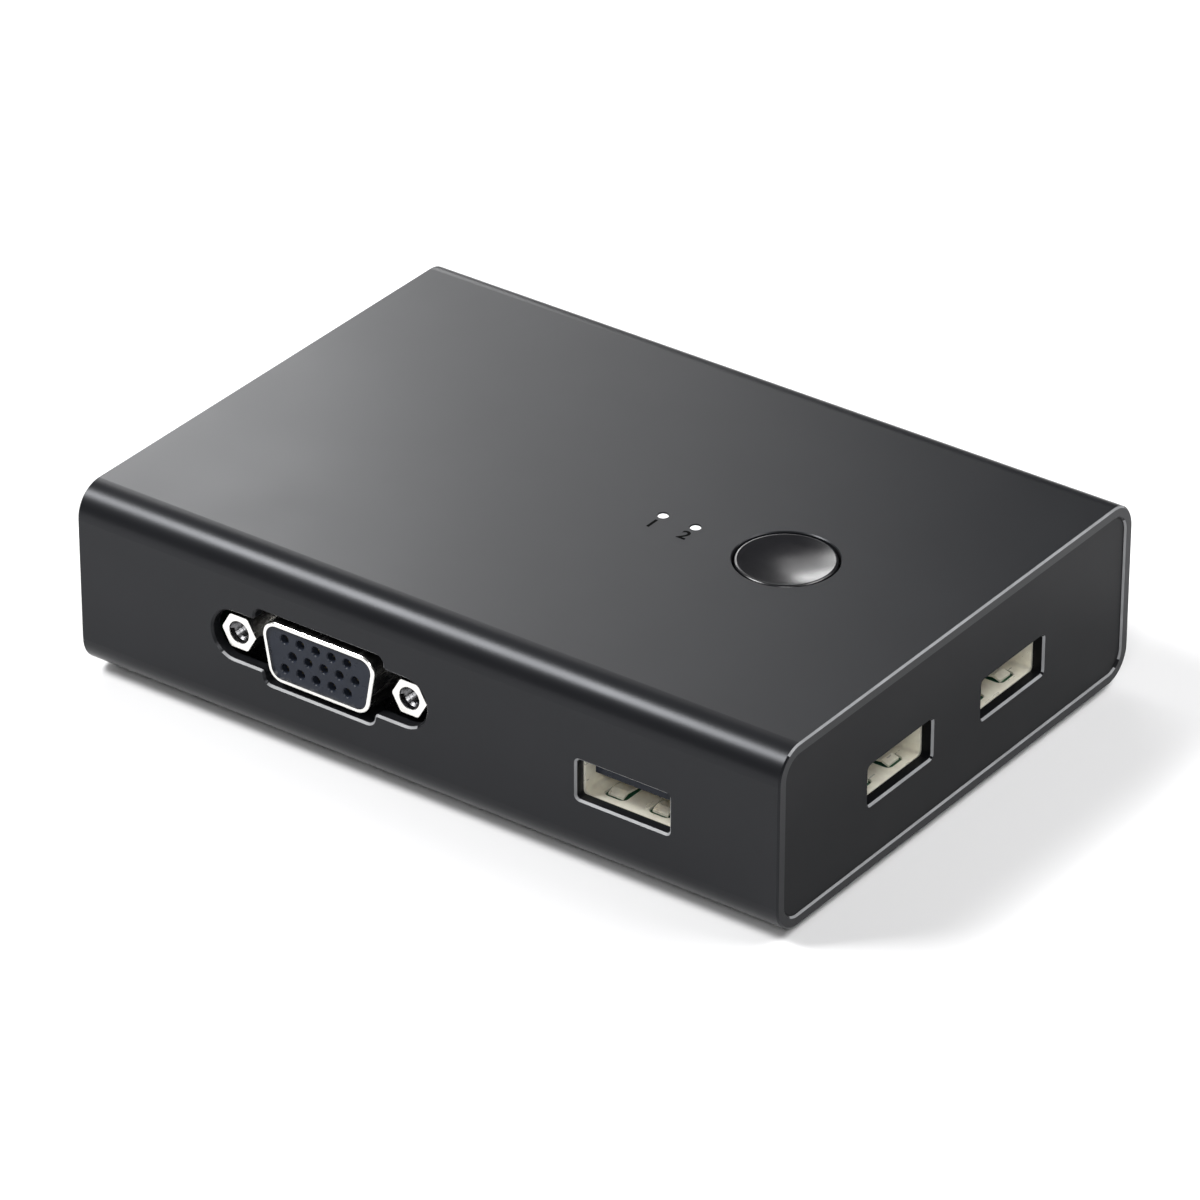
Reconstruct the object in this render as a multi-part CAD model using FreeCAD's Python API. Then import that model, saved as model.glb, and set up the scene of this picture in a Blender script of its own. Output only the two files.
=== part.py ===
import FreeCAD, Part
import math
import os

from FreeCAD import Rotation, Vector

# Two-computer desktop switch for a screen, keyboard and mouse.
# Millimetres. +X runs along the long front, the front faces -Y and +Z is up.
# The origin is the centre of the footprint, on the surface the feet stand on.

# Case: a one-piece sleeve with inset end panels and an inset bottom cover.
case_length = 100.8
case_depth = 72.4
case_height = 24.2
foot_height = 1.0
case_corner_radius = 4.0
wall = 1.5
sleeve_end_chamfer = 0.22
opening_chamfer = 0.25
sliding_gap = 0.05
case_bottom = foot_height
case_top = foot_height + case_height
half_length = case_length / 2
half_depth = case_depth / 2
ceiling = case_top - wall
floor_top = case_bottom + wall

# End panels, held between ribs in the sleeve and their own snap hooks.
panel_recess = 0.25
panel_thickness = 1.5
panel_outer_face = half_length - panel_recess
panel_inner_face = panel_outer_face - panel_thickness
catch_rib_height = 1.0
catch_rib_thickness = 1.2
catch_rib_width = 9.0
catch_rib_spread = 20.0
hook_width = 6.0
hook_thickness = 1.0
hook_gap = 0.1
hook_barb = 0.9

# Access opening in the sleeve's underside and the stepped cover that fills it.
access_length = 91.0
access_depth = 60.4
rabbet_depth = 0.8
rabbet_width = 1.5
cover_gap = 0.15
cover_thickness = 2.0
cover_corner_radius = 3.0
cover_top = case_bottom + cover_thickness

# Feet, label and case screws on the underside.
foot_length = 13.0
foot_width = 8.0
foot_corner_radius = 2.5
foot_recess = 0.3
foot_chamfer = 0.25
foot_x = 29.0
foot_y = 24.5
label_length = 34.0
label_width = 16.0
label_thickness = 0.12
label_recess = 0.15
label_corner_radius = 1.0
label_y = -2.0
case_screw_points = [(-40.0, -25.0), (40.0, -25.0), (-40.0, 12.5), (29.5, 12.5)]
screw_head_radius = 2.2
screw_head_height = 1.2
screw_head_sink = 0.1
screw_shank_radius = 1.15
screw_engagement = 6.0
drive_slot_width = 0.55
drive_slot_length = 2.4
drive_slot_depth = 0.8
screw_clearance_radius = 1.4
screw_pilot_radius = 1.2
post_radius = 2.9
boss_radius = 2.6

# Circuit board and the screws that hang it from the sleeve's bosses.
board_thickness = 1.6
board_top = 9.25
board_bottom = board_top - board_thickness
board_half_length = 47.4
board_half_depth = 29.2
board_tab_y = 33.9
board_corner_radius = 1.0
board_hole_radius = 1.5
board_screw_points = [(-37.0, 3.0), (8.0, -23.5)]
board_screw_length = 5.0
pan_head_radius = 1.9
pan_head_height = 1.3
tail_drop = 1.0
tail_end = board_bottom - tail_drop
tail_hole_gap = 0.1

# DE-15 video socket. Its own y = 0 is the outer face of the case wall.
vga_z = 13.5
vga_screw_spacing = 24.99
vga_shell_width = 16.33
vga_shell_height = 7.9
vga_shell_corner = 2.0
vga_shell_wall = 0.4
vga_rim_fillet = 0.2
vga_lip_width = 0.5
vga_lip_depth = 0.4
vga_side_angle = math.radians(10)
vga_flange_front = 5.95
vga_flange_thickness = 0.6
vga_flange_width = 30.8
vga_flange_height = 12.5
vga_flange_corner = 1.2
vga_insulator_face = 0.25
vga_pin_pitch = 2.29
vga_row_pitch = 1.98
vga_row_shift = 1.145
vga_row_first_bend = 10.6
vga_row_bend_step = 2.3
vga_lead_in_radius = 0.7
vga_lead_in_depth = 0.12
vga_socket_radius = 0.58
vga_socket_bore = 0.36
vga_socket_start = 1.4
vga_pin_radius = 0.28
vga_body_width = 19.0
vga_body_back = 16.7
vga_body_top = 18.6
vga_body_base = board_top + sliding_gap
vga_ear_back = 9.0
vga_ear_half_width = 15.0
vga_ear_top = 17.0
vga_cutout_width = 18.8
vga_cutout_height = 9.65
vga_cutout_corner = 1.05
vga_cutout_join = 0.5
vga_lobe_radius = 3.2

# Hexagonal jackscrews and the brackets they screw into.
jack_front = 1.0
jack_across_flats = 4.35
jack_edge_chamfer = 0.08
jack_thread_radius = 1.42
jack_thread_depth = 4.4
jack_mouth_radius = 1.47
jack_mouth_depth = 0.1
jack_stud_radius = 1.35
jack_stud_end = 11.2
jack_hole_radius = 1.6
bracket_hole_radius = 1.4
bracket_thickness = 1.6
bracket_half_width = 2.4
bracket_height = 4.8
bracket_leg_width = 1.6
bracket_leg_thickness = 0.8

# USB type A socket. Its own y = 0 is the front edge of the metal shell.
usb_a_z = 12.15
usb_a_inner_width = 12.5
usb_a_inner_height = 5.12
usb_a_wall = 0.3
usb_a_depth = 14.0
usb_a_corner = 0.5
usb_a_shell_gap = 0.05
usb_a_cutout_width = 13.0
usb_a_cutout_height = 5.25
usb_a_cutout_corner = 0.5
usb_a_finger_offset = 3.1
usb_a_finger_width = 2.1
usb_a_slot_width = 0.5
usb_a_finger_start = 1.0
usb_a_finger_end = 6.0
usb_a_finger_lift = 0.45
usb_a_finger_tip_lift = 0.11
usb_a_finger_crest = 1.0
usb_a_finger_root = 0.5
usb_a_tongue_width = 11.1
usb_a_tongue_thickness = 1.84
usb_a_tongue_drop = 0.7
usb_a_tongue_front = 1.0
usb_a_block_front = 9.0
usb_a_block_back = 13.5
usb_a_block_gap = 0.08
usb_a_open_floor = 10.2
usb_a_contact_x = (-3.5, -1.0, 1.0, 3.5)
usb_a_contact_width = 0.9
usb_a_contact_thickness = 0.25
usb_a_contact_front = 1.7
usb_a_contact_bend = 12.0
usb_a_lock_length = 1.8
usb_a_lock_places = (4.2, 10.4)

# USB type B socket. Its own y = 0 is the front edge of the metal shell.
usb_b_width = 12.0
usb_b_height = 10.9
usb_b_wall = 0.35
usb_b_depth = 16.0
usb_b_corner = 0.6
usb_b_opening_width = 8.45
usb_b_opening_height = 7.78
usb_b_opening_bevel = 1.9
usb_b_opening_corner = 0.5
usb_b_cutout_gap = 0.3
usb_b_floor_y = 9.2
usb_b_tongue_width = 5.6
usb_b_tongue_height = 3.2
usb_b_tongue_front = 1.1
usb_b_contact_x = 1.25
usb_b_contact_width = 1.0
usb_b_contact_thickness = 0.25
usb_b_contact_front = 2.0
usb_b_contact_bends = (11.2, 13.2)
usb_b_lock_length = 2.4
usb_b_lock_y = 4.0
usb_b_z = board_top + sliding_gap + usb_b_height / 2

# Where each socket sits along its own face.
front_vga_x = -14.6
front_usb_x = 28.9
side_usb_y = (-11.55, 11.55)
back_vga_x = (-30.6, 16.2)
back_usb_x = (-7.2, 39.6)

# Select button: a dished cap that travels straight down onto a push switch.
button_x = 26.0
button_hole_radius = 6.375
button_radius = 6.1
button_top = case_top - 0.05
button_rim_fillet = 0.3
button_hole_chamfer = 0.12
dish_radius = 5.75
dish_depth = 0.75
button_travel = 0.5
button_flange_radius = 7.3
button_flange_top = ceiling - 0.25
button_flange_thickness = 1.0
button_stem_width = 7.0
button_stem_rib = 1.2
guide_inner_radius = 7.6
guide_outer_radius = 8.6
guide_bottom = 20.4

# Push switch on the board under the button.
switch_size = 6.2
switch_height = 3.5
switch_cavity_radius = 2.6
switch_cavity_floor = 0.6
switch_cover_thickness = 0.3
switch_cover_hole = 2.0
switch_disc_radius = 2.3
switch_disc_bottom = 1.3
switch_disc_top = 3.4
switch_stem_radius = 1.7
switch_stem_height = 7.3
switch_dome_radius = 2.35
switch_dome_height = button_travel + 0.05
switch_dome_thickness = 0.1
switch_leg_x = 2.6
switch_leg_width = 0.7
switch_leg_thickness = 0.4
switch_leg_top = 1.0

# Indicator lights: chips on the board with clear pipes up to the top face.
light_x = (8.6, 13.25)
light_y = -0.2
light_window_radius = 0.74
light_tip_radius = 0.68
light_tip_recess = 0.2
light_rod_radius = 1.2
light_socket_radius = 2.0
light_socket_gap = 0.05
light_socket_bottom = 21.0
light_rod_bottom = 10.6
led_length = 2.0
led_width = 1.25
led_height = 0.8

# Other parts on the board: (x, y) of each, and sizes along X, Y and Z.
video_ic_centre = (-22.0, 3.0)
video_ic_size = (12.0, 12.0, 1.4)
video_ic_leads = 14
usb_ic_centre = (3.0, 6.0)
usb_ic_size = (7.0, 7.0, 1.2)
usb_ic_leads = 10
hub_ic_centre = (17.0, -13.5)
hub_ic_size = (6.0, 6.0, 1.2)
hub_ic_leads = 8
lead_width = 0.3
lead_reach = 1.0
lead_thickness = 0.15
lead_height = 0.6
crystal_centre = (3.0, -9.0)
crystal_length = 10.5
crystal_width = 4.4
crystal_height = 3.4
regulator_centre = (-38.0, -8.0)
regulator_size = (6.5, 3.5, 1.6)
regulator_tab = (3.0, 1.6, 0.3)
regulator_pitch = 2.3
capacitor_points = [(-42.0, -17.0), (-35.0, -17.0), (14.0, 12.5)]
capacitor_radius = 2.5
capacitor_height = 6.4
capacitor_base = 0.6
capacitor_groove = 0.25
capacitor_groove_height = 1.6
chip_size = (1.6, 0.8, 0.5)
chip_resistor_rows = [(-30.0, -8.0, 6), (-12.0, 12.0, 5), (10.0, -5.0, 4)]
chip_capacitor_rows = [(-30.0, -11.0, 6), (-12.0, 14.0, 5), (10.0, -7.0, 3)]
chip_pitch = 2.4

MARGIN = 1.0
EPSILON = 1e-6
PLANE_TOLERANCE = 1e-4
X, Y, Z = Vector(1, 0, 0), Vector(0, 1, 0), Vector(0, 0, 1)


# Plain shapes

def box(x_range, y_range, z_range):
    """Block between two limits along each axis."""
    size = [high - low for low, high in (x_range, y_range, z_range)]
    return Part.makeBox(*size, Vector(x_range[0], y_range[0], z_range[0]))


def cylinder(radius, start, end):
    """Round bar between two points."""
    return Part.makeCylinder(radius, (end - start).Length, start, end - start)


def cone(start_radius, end_radius, start, end):
    """Tapered round bar between two points."""
    return Part.makeCone(start_radius, end_radius, (end - start).Length, start, end - start)


def upright(radius, x, y, z_low, z_high):
    """Vertical round bar."""
    return cylinder(radius, Vector(x, y, z_low), Vector(x, y, z_high))


def around(centre, half):
    """Limits that lie a half-width either side of a centre."""
    return (centre - half, centre + half)


def rectangle(u_range, v_range):
    """Corner points of a rectangle, anticlockwise."""
    (u0, u1), (v0, v1) = u_range, v_range
    return [(u0, v0), (u1, v0), (u1, v1), (u0, v1)]


def outline(points, radii, place):
    """Closed wire through points in a plane, with each corner rounded by an arc."""
    spots = [place(u, v) for u, v in points]
    count = len(spots)
    corners = []
    for index, (spot, radius) in enumerate(zip(spots, radii)):
        back = (spots[index - 1] - spot).normalize()
        ahead = (spots[(index + 1) % count] - spot).normalize()
        half_angle = back.getAngle(ahead) / 2
        reach = radius / math.tan(half_angle)
        inward = (back + ahead).normalize()
        middle = spot + inward * (radius / math.sin(half_angle) - radius)
        corners.append((spot + back * reach, middle, spot + ahead * reach))
    edges = []
    for index, (arc_start, middle, arc_end) in enumerate(corners):
        if radii[index] > 0:
            edges.append(Part.Arc(arc_start, middle, arc_end).toShape())
        next_start = corners[(index + 1) % count][0]
        if (next_start - arc_end).Length > EPSILON:
            edges.append(Part.LineSegment(arc_end, next_start).toShape())
    return Part.Wire(edges)


def prism(points, radius, span, axis):
    """Solid with a rounded outline, run along X, Y or Z between two limits."""
    low, high = span
    places = {"X": lambda u, v: Vector(low, u, v),
              "Y": lambda u, v: Vector(u, low, v),
              "Z": lambda u, v: Vector(u, v, low)}
    directions = {"X": X, "Y": Y, "Z": Z}
    radii = radius if isinstance(radius, list) else [radius] * len(points)
    face = Part.Face(outline(points, radii, places[axis]))
    return face.extrude(directions[axis] * (high - low))


def grown(points, radii, amount):
    """The same anticlockwise outline with every side moved outward by an amount."""
    count = len(points)
    new_points, new_radii = [], []
    for index, (u, v) in enumerate(points):
        before = Vector(*points[index - 1], 0)
        corner = Vector(u, v, 0)
        after = Vector(*points[(index + 1) % count], 0)
        incoming = (corner - before).normalize()
        outgoing = (after - corner).normalize()
        normals = [Vector(side.y, -side.x, 0) for side in (incoming, outgoing)]
        shift = (normals[0] + normals[1]) * (amount / (1 + normals[0].dot(normals[1])))
        convex = incoming.cross(outgoing).z > 0
        new_points.append((u + shift.x, v + shift.y))
        new_radii.append(radii[index] + (amount if convex else -amount))
    return new_points, new_radii


def flared_hole(points, radius, depth):
    """Cutting tool for a hole through a wall in the XZ plane, flared at its outer face, y = 0."""
    radii = radius if isinstance(radius, list) else [radius] * len(points)
    wide_points, wide_radii = grown(points, radii, opening_chamfer)
    mouth = outline(wide_points, wide_radii, lambda u, v: Vector(u, 0, v))
    throat = outline(points, radii, lambda u, v: Vector(u, opening_chamfer, v))
    flare = Part.makeLoft([mouth, throat], True, True)
    through = Part.Face(throat).extrude(Y * (depth - opening_chamfer))
    lip = Part.Face(mouth).extrude(-Y * MARGIN)
    return flare.fuse([through, lip])


def edges_at(shape, axis, value, region=None):
    """Edges that lie in one plane across an axis, optionally only inside a region."""
    picked = []
    for edge in shape.Edges:
        bounds = edge.BoundBox
        limits = {"X": (bounds.XMin, bounds.XMax),
                  "Y": (bounds.YMin, bounds.YMax),
                  "Z": (bounds.ZMin, bounds.ZMax)}[axis]
        in_plane = all(abs(limit - value) < PLANE_TOLERANCE for limit in limits)
        if in_plane and (region is None or region.isInside(edge.CenterOfMass)):
            picked.append(edge)
    return picked


def region(x_range, y_range, z_range):
    """Bounding box used to pick edges."""
    return FreeCAD.BoundBox(x_range[0], y_range[0], z_range[0], x_range[1], y_range[1], z_range[1])


def union(shapes):
    """One solid out of shapes that touch or overlap."""
    first, *others = shapes
    return first.fuse(others).removeSplitter() if others else first


def group(shapes):
    """Separate solids kept side by side in one node."""
    return Part.makeCompound(shapes)


# Placing sockets: each is built facing -Y about its own origin.

def on_front(shape, x, depth):
    """Socket on the front face, its origin a depth inside the face."""
    moved = shape.copy()
    moved.translate(Vector(x, depth - half_depth, 0))
    return moved


def on_back(shape, x, depth):
    """Socket on the back face, its origin a depth inside the face."""
    moved = shape.copy()
    moved.rotate(Vector(0, 0, 0), Z, 180)
    moved.translate(Vector(x, half_depth - depth, 0))
    return moved


def on_right(shape, y, depth):
    """Socket on the right end panel, its origin a depth inside the panel's face."""
    moved = shape.copy()
    moved.rotate(Vector(0, 0, 0), Z, 90)
    moved.translate(Vector(panel_outer_face - depth, y, 0))
    return moved


# Port cut-outs

def d_points(width, height, corner, centre_z):
    """Corners of a D outline whose rounded shape has this width, wide side up."""
    tangent = math.tan(vga_side_angle)
    half_top = width / 2 + corner * (tangent + 1 / math.cos(vga_side_angle) - 1)
    half_bottom = half_top - height * tangent
    top, bottom = centre_z + height / 2, centre_z - height / 2
    return [(-half_bottom, bottom), (half_bottom, bottom), (half_top, top), (-half_top, top)]


def vga_cutout():
    """Opening for a D-shaped socket with a lobe at each side for its jackscrew."""
    d_corners = d_points(vga_cutout_width, vga_cutout_height, vga_cutout_corner, vga_z)
    (_, bottom), (half_bottom, _), (half_top, top), _ = d_corners
    slope = math.tan(vga_side_angle)
    lobe_end = vga_screw_spacing / 2 + vga_lobe_radius
    lobe_low, lobe_high = around(vga_z, vga_lobe_radius)
    join_low = half_bottom + (lobe_low - bottom) * slope
    join_high = half_top - (top - lobe_high) * slope
    right = [(half_bottom, bottom), (join_low, lobe_low), (lobe_end, lobe_low),
             (lobe_end, lobe_high), (join_high, lobe_high), (half_top, top)]
    left = [(-x, z) for x, z in reversed(right)]
    radii = [vga_cutout_corner, vga_cutout_join, vga_lobe_radius,
             vga_lobe_radius, vga_cutout_join, vga_cutout_corner]
    return flared_hole(right + left, radii + radii[::-1], wall + MARGIN)


def usb_a_cutout():
    """Opening for a type A plug."""
    points = rectangle(around(0, usb_a_cutout_width / 2), around(usb_a_z, usb_a_cutout_height / 2))
    return flared_hole(points, usb_a_cutout_corner, wall + MARGIN)


def usb_b_points(gap):
    """Squarish type B opening with its two upper corners bevelled, grown by a gap."""
    half_width = usb_b_opening_width / 2 + gap
    low, high = around(usb_b_z, usb_b_opening_height / 2 + gap)
    bevel = usb_b_opening_bevel
    return [(-half_width, low), (half_width, low), (half_width, high - bevel),
            (half_width - bevel, high), (bevel - half_width, high), (-half_width, high - bevel)]


def usb_b_cutout():
    """Opening for a type B plug."""
    return flared_hole(usb_b_points(usb_b_cutout_gap), usb_b_opening_corner, wall + MARGIN)


# Case

def sleeve_profile(inset):
    """Rounded rectangle of the sleeve's section, shrunk by an inset."""
    points = rectangle(around(0, half_depth - inset), (case_bottom + inset, case_top - inset))
    return points, case_corner_radius - inset


def access_points(inset):
    """Corners of the access opening, shrunk by an inset."""
    return rectangle(around(0, access_length / 2 - inset), around(0, access_depth / 2 - inset))


def catch_ribs():
    """Short ribs under the ceiling that stop the end panels and take their hooks."""
    outer = panel_inner_face - hook_gap
    ribs = []
    for y in (-catch_rib_spread, catch_rib_spread):
        z_range = (ceiling - catch_rib_height, ceiling + MARGIN)
        y_range = around(y, catch_rib_width / 2)
        ribs.append(box((outer - catch_rib_thickness, outer), y_range, z_range))
        ribs.append(box((-outer, catch_rib_thickness - outer), y_range, z_range))
    return ribs


def upper_shell():
    """Sleeve with port, button and light openings, screw bosses and guides."""
    outer_points, outer_radius = sleeve_profile(0)
    inner_points, inner_radius = sleeve_profile(wall)
    ends = around(0, half_length)
    body = prism(outer_points, outer_radius, ends, "X")
    body = body.cut(prism(inner_points, inner_radius, around(0, half_length + MARGIN), "X"))
    end_edges = edges_at(body, "X", -half_length) + edges_at(body, "X", half_length)
    body = body.makeChamfer(sleeve_end_chamfer, end_edges)

    rabbet = prism(access_points(0), cover_corner_radius,
                   (case_bottom - MARGIN, case_bottom + rabbet_depth), "Z")
    hatch = prism(access_points(rabbet_width), cover_corner_radius - rabbet_width,
                  (case_bottom - MARGIN, floor_top + MARGIN), "Z")
    body = body.cut([rabbet, hatch])

    additions = catch_ribs()
    additions.append(upright(guide_outer_radius, button_x, 0, guide_bottom, ceiling + MARGIN / 2))
    for x in light_x:
        additions.append(upright(light_socket_radius, x, light_y,
                                 light_socket_bottom, ceiling + MARGIN / 2))
    for x, y in case_screw_points + board_screw_points:
        additions.append(upright(boss_radius, x, y, board_top, ceiling + MARGIN / 2))
    body = body.fuse(additions)

    removals = [upright(guide_inner_radius, button_x, 0, guide_bottom - MARGIN, ceiling),
                upright(button_hole_radius, button_x, 0, ceiling - MARGIN, case_top + MARGIN)]
    for x in light_x:
        removals.append(upright(light_rod_radius + light_socket_gap, x, light_y,
                                light_socket_bottom - MARGIN, ceiling))
        removals.append(upright(light_window_radius, x, light_y, ceiling - MARGIN, case_top + MARGIN))
    for x, y in case_screw_points + board_screw_points:
        removals.append(upright(screw_pilot_radius, x, y, board_top - MARGIN,
                                board_top + screw_engagement + MARGIN))
    removals.append(on_front(vga_cutout(), front_vga_x, 0))
    removals.append(on_front(usb_a_cutout(), front_usb_x, 0))
    removals.extend(on_back(vga_cutout(), x, 0) for x in back_vga_x)
    removals.extend(on_back(usb_b_cutout(), x, 0) for x in back_usb_x)
    body = body.cut(removals)

    button_area = region(around(button_x, guide_outer_radius), around(0, guide_outer_radius),
                         around(case_top, MARGIN))
    return body.makeChamfer(button_hole_chamfer, edges_at(body, "Z", case_top, button_area))


def foot_points():
    """Centres of the four feet."""
    return [(x, y) for x in (-foot_x, foot_x) for y in (-foot_y, foot_y)]


def foot_solid(centre, z_range, gap):
    """Rounded pad under the cover, grown by a gap."""
    x, y = centre
    points = rectangle(around(x, foot_length / 2 + gap), around(y, foot_width / 2 + gap))
    return prism(points, foot_corner_radius + gap, z_range, "Z")


def bottom_cover():
    """Stepped plate with screw posts, countersinks and shallow seats for feet and label."""
    lower = prism(access_points(cover_gap), cover_corner_radius - cover_gap,
                  (case_bottom, case_bottom + rabbet_depth - sliding_gap), "Z")
    upper = prism(access_points(rabbet_width + cover_gap), cover_corner_radius - rabbet_width,
                  (case_bottom, cover_top), "Z")
    posts = [upright(post_radius, x, y, case_bottom + rabbet_depth, board_bottom)
             for x, y in case_screw_points]
    body = lower.fuse([upper] + posts)
    removals = [foot_solid(point, (case_bottom - MARGIN, case_bottom + foot_recess), sliding_gap)
                for point in foot_points()]
    for x, y in case_screw_points:
        removals.append(upright(screw_clearance_radius, x, y, case_bottom - MARGIN, board_bottom + MARGIN))
        head_base = case_bottom + screw_head_sink
        seat = screw_head_radius + sliding_gap
        removals.append(cone(seat, screw_clearance_radius, Vector(x, y, head_base),
                             Vector(x, y, head_base + screw_head_height)))
        removals.append(upright(seat, x, y, case_bottom - MARGIN, head_base))
    label_seat = rectangle(around(0, label_length / 2 + sliding_gap),
                           around(label_y, label_width / 2 + sliding_gap))
    removals.append(prism(label_seat, label_corner_radius,
                          (case_bottom - MARGIN, case_bottom + label_recess), "Z"))
    return body.cut(removals).removeSplitter()


def rubber_feet():
    """Four low pads that the case stands on."""
    feet = []
    for point in foot_points():
        foot = foot_solid(point, (0, foot_height + foot_recess), 0)
        feet.append(foot.makeChamfer(foot_chamfer, edges_at(foot, "Z", 0)))
    return group(feet)


def rating_label():
    """Blank label set into the cover."""
    points = rectangle(around(0, label_length / 2), around(label_y, label_width / 2))
    top = case_bottom + label_recess
    return prism(points, label_corner_radius, (top - label_thickness, top), "Z")


def case_screw(x, y):
    """Countersunk cross-head screw, head down."""
    head_base = case_bottom + screw_head_sink
    head_top = head_base + screw_head_height
    head = cone(screw_head_radius, screw_shank_radius, Vector(x, y, head_base), Vector(x, y, head_top))
    shank = upright(screw_shank_radius, x, y, head_top, board_top + screw_engagement)
    return cut_cross(head.fuse(shank), x, y, head_base).removeSplitter()


def cut_cross(screw, x, y, base):
    """Screw with a cross recess cut up into the head from its base."""
    long_side = around(0, drive_slot_length / 2)
    short_side = around(0, drive_slot_width / 2)
    z_range = (base - MARGIN, base + drive_slot_depth)
    slots = [box(long_side, short_side, z_range), box(short_side, long_side, z_range)]
    for slot in slots:
        slot.translate(Vector(x, y, 0))
    return screw.cut(slots)


def board_screw(x, y):
    """Pan-head screw up through the board into a boss."""
    base = board_bottom - pan_head_height
    head = upright(pan_head_radius, x, y, base, board_bottom)
    shank = upright(screw_shank_radius, x, y, board_bottom, board_top + board_screw_length)
    return cut_cross(head.fuse(shank), x, y, base).removeSplitter()


def panel_hook(y):
    """Snap hook on the right panel's inner face that reaches under a catch rib."""
    rib_outer = panel_inner_face - hook_gap
    rib_inner = rib_outer - catch_rib_thickness
    arm_top = ceiling - catch_rib_height - hook_gap
    arm_end = rib_inner - hook_gap - hook_barb
    y_range = around(y, hook_width / 2)
    arm = box((arm_end, panel_inner_face + MARGIN / 2), y_range, (arm_top - hook_thickness, arm_top))
    barb = box((arm_end, rib_inner - hook_gap), y_range, (arm_top, arm_top + hook_barb))
    return arm.fuse(barb)


def end_panel():
    """Blank right-hand end panel with its hooks."""
    points, radius = sleeve_profile(wall + sliding_gap)
    plate = prism(points, radius, (panel_inner_face, panel_outer_face), "X")
    return union([plate] + [panel_hook(y) for y in (-catch_rib_spread, catch_rib_spread)])


def right_end_panel():
    """End panel with two plug openings."""
    return end_panel().cut([on_right(usb_a_cutout(), y, 0) for y in side_usb_y])


def left_end_panel():
    """Plain end panel."""
    return end_panel().rotate(Vector(0, 0, 0), Z, 180)


# DE-15 video socket

def vga_d(inset, y_range):
    """D-shaped bar inside the shell's outline, shrunk by an inset."""
    corner = vga_shell_corner - inset
    points = d_points(vga_shell_width - 2 * inset, vga_shell_height - 2 * inset, corner, vga_z)
    return prism(points, corner, y_range, "Y")


def vga_screw_holes(radius, y_range):
    """Bars along the two jackscrew axes."""
    return [cylinder(radius, Vector(x, y_range[0], vga_z), Vector(x, y_range[1], vga_z))
            for x in around(0, vga_screw_spacing / 2)]


def vga_shell():
    """Drawn steel shell with its front edge turned in, and its flange."""
    flange_back = vga_flange_front + vga_flange_thickness
    tube = vga_d(0, (0, vga_flange_front + vga_flange_thickness / 2))
    tube = tube.makeFillet(vga_rim_fillet, edges_at(tube, "Y", 0))
    points = rectangle(around(0, vga_flange_width / 2), around(vga_z, vga_flange_height / 2))
    flange = prism(points, vga_flange_corner, (vga_flange_front, flange_back), "Y")
    mouth = vga_d(vga_lip_width, (-MARGIN, vga_lip_depth + MARGIN))
    bore = vga_d(vga_shell_wall, (vga_lip_depth, flange_back + MARGIN))
    holes = vga_screw_holes(jack_hole_radius, (0, flange_back + MARGIN))
    return tube.fuse(flange).cut([mouth, bore] + holes).removeSplitter()


def vga_pins():
    """Where each contact sits: x, z and the depth at which its tail turns down."""
    pins = []
    for row in range(3):
        z = vga_z + (1 - row) * vga_row_pitch
        shift = vga_row_shift / 2 if row == 1 else -vga_row_shift / 2
        bend = vga_row_first_bend + (2 - row) * vga_row_bend_step
        pins += [((column - 2) * vga_pin_pitch + shift, z, bend) for column in range(5)]
    return pins


def vga_contact(x, z, bend):
    """Round socket with a pin that turns down to the board."""
    mouth = Vector(x, vga_socket_start, z)
    root = Vector(x, vga_flange_front, z)
    corner = Vector(x, bend, z)
    socket = cylinder(vga_socket_radius, mouth, root)
    rod = cylinder(vga_pin_radius, root, corner)
    tail = cylinder(vga_pin_radius, corner, Vector(x, bend, tail_end))
    elbow = Part.makeSphere(vga_pin_radius, corner)
    bore = cylinder(vga_socket_bore, mouth - Y * MARGIN, root - Y * MARGIN)
    return socket.fuse([rod, tail, elbow]).cut(bore)


def vga_contacts():
    """Fifteen contacts in three rows of five."""
    return group([vga_contact(*pin) for pin in vga_pins()])


def vga_insulator():
    """Moulded block inside the shell, with a flared hole for every contact."""
    flange_back = vga_flange_front + vga_flange_thickness
    nose = vga_d(vga_shell_wall, (vga_lip_depth, flange_back))
    face_plate = vga_d(vga_lip_width, (vga_insulator_face, vga_lip_depth))
    block = box(around(0, vga_body_width / 2), (flange_back, vga_body_back), (vga_body_base, vga_body_top))
    ears = box(around(0, vga_ear_half_width), (flange_back, vga_ear_back), (vga_body_base, vga_ear_top))
    body = nose.fuse([face_plate, block, ears])
    removals = vga_screw_holes(jack_hole_radius, (vga_flange_front, vga_ear_back + MARGIN))
    for x, z, bend in vga_pins():
        mouth = Vector(x, vga_insulator_face, z)
        throat = mouth + Y * vga_lead_in_depth
        removals.append(cone(vga_lead_in_radius, vga_socket_radius, mouth, throat))
        removals.append(cylinder(vga_socket_radius, throat, Vector(x, vga_flange_front, z)))
        removals.append(vga_contact(x, z, bend))
    return body.cut(removals).removeSplitter()


def vga_brackets():
    """Two threaded board brackets behind the insulator's ears."""
    brackets = []
    back = vga_ear_back + bracket_thickness
    for x, hole in zip(around(0, vga_screw_spacing / 2),
                       vga_screw_holes(bracket_hole_radius, (0, back + MARGIN))):
        top = vga_z + bracket_height / 2
        plate = box(around(x, bracket_half_width), (vga_ear_back, back), (vga_body_base, top))
        leg_y = around((vga_ear_back + back) / 2, bracket_leg_thickness / 2)
        leg = box(around(x, bracket_leg_width / 2), leg_y, (tail_end, vga_body_base))
        brackets.append(plate.fuse(leg).cut(hole).removeSplitter())
    return group(brackets)


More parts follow.
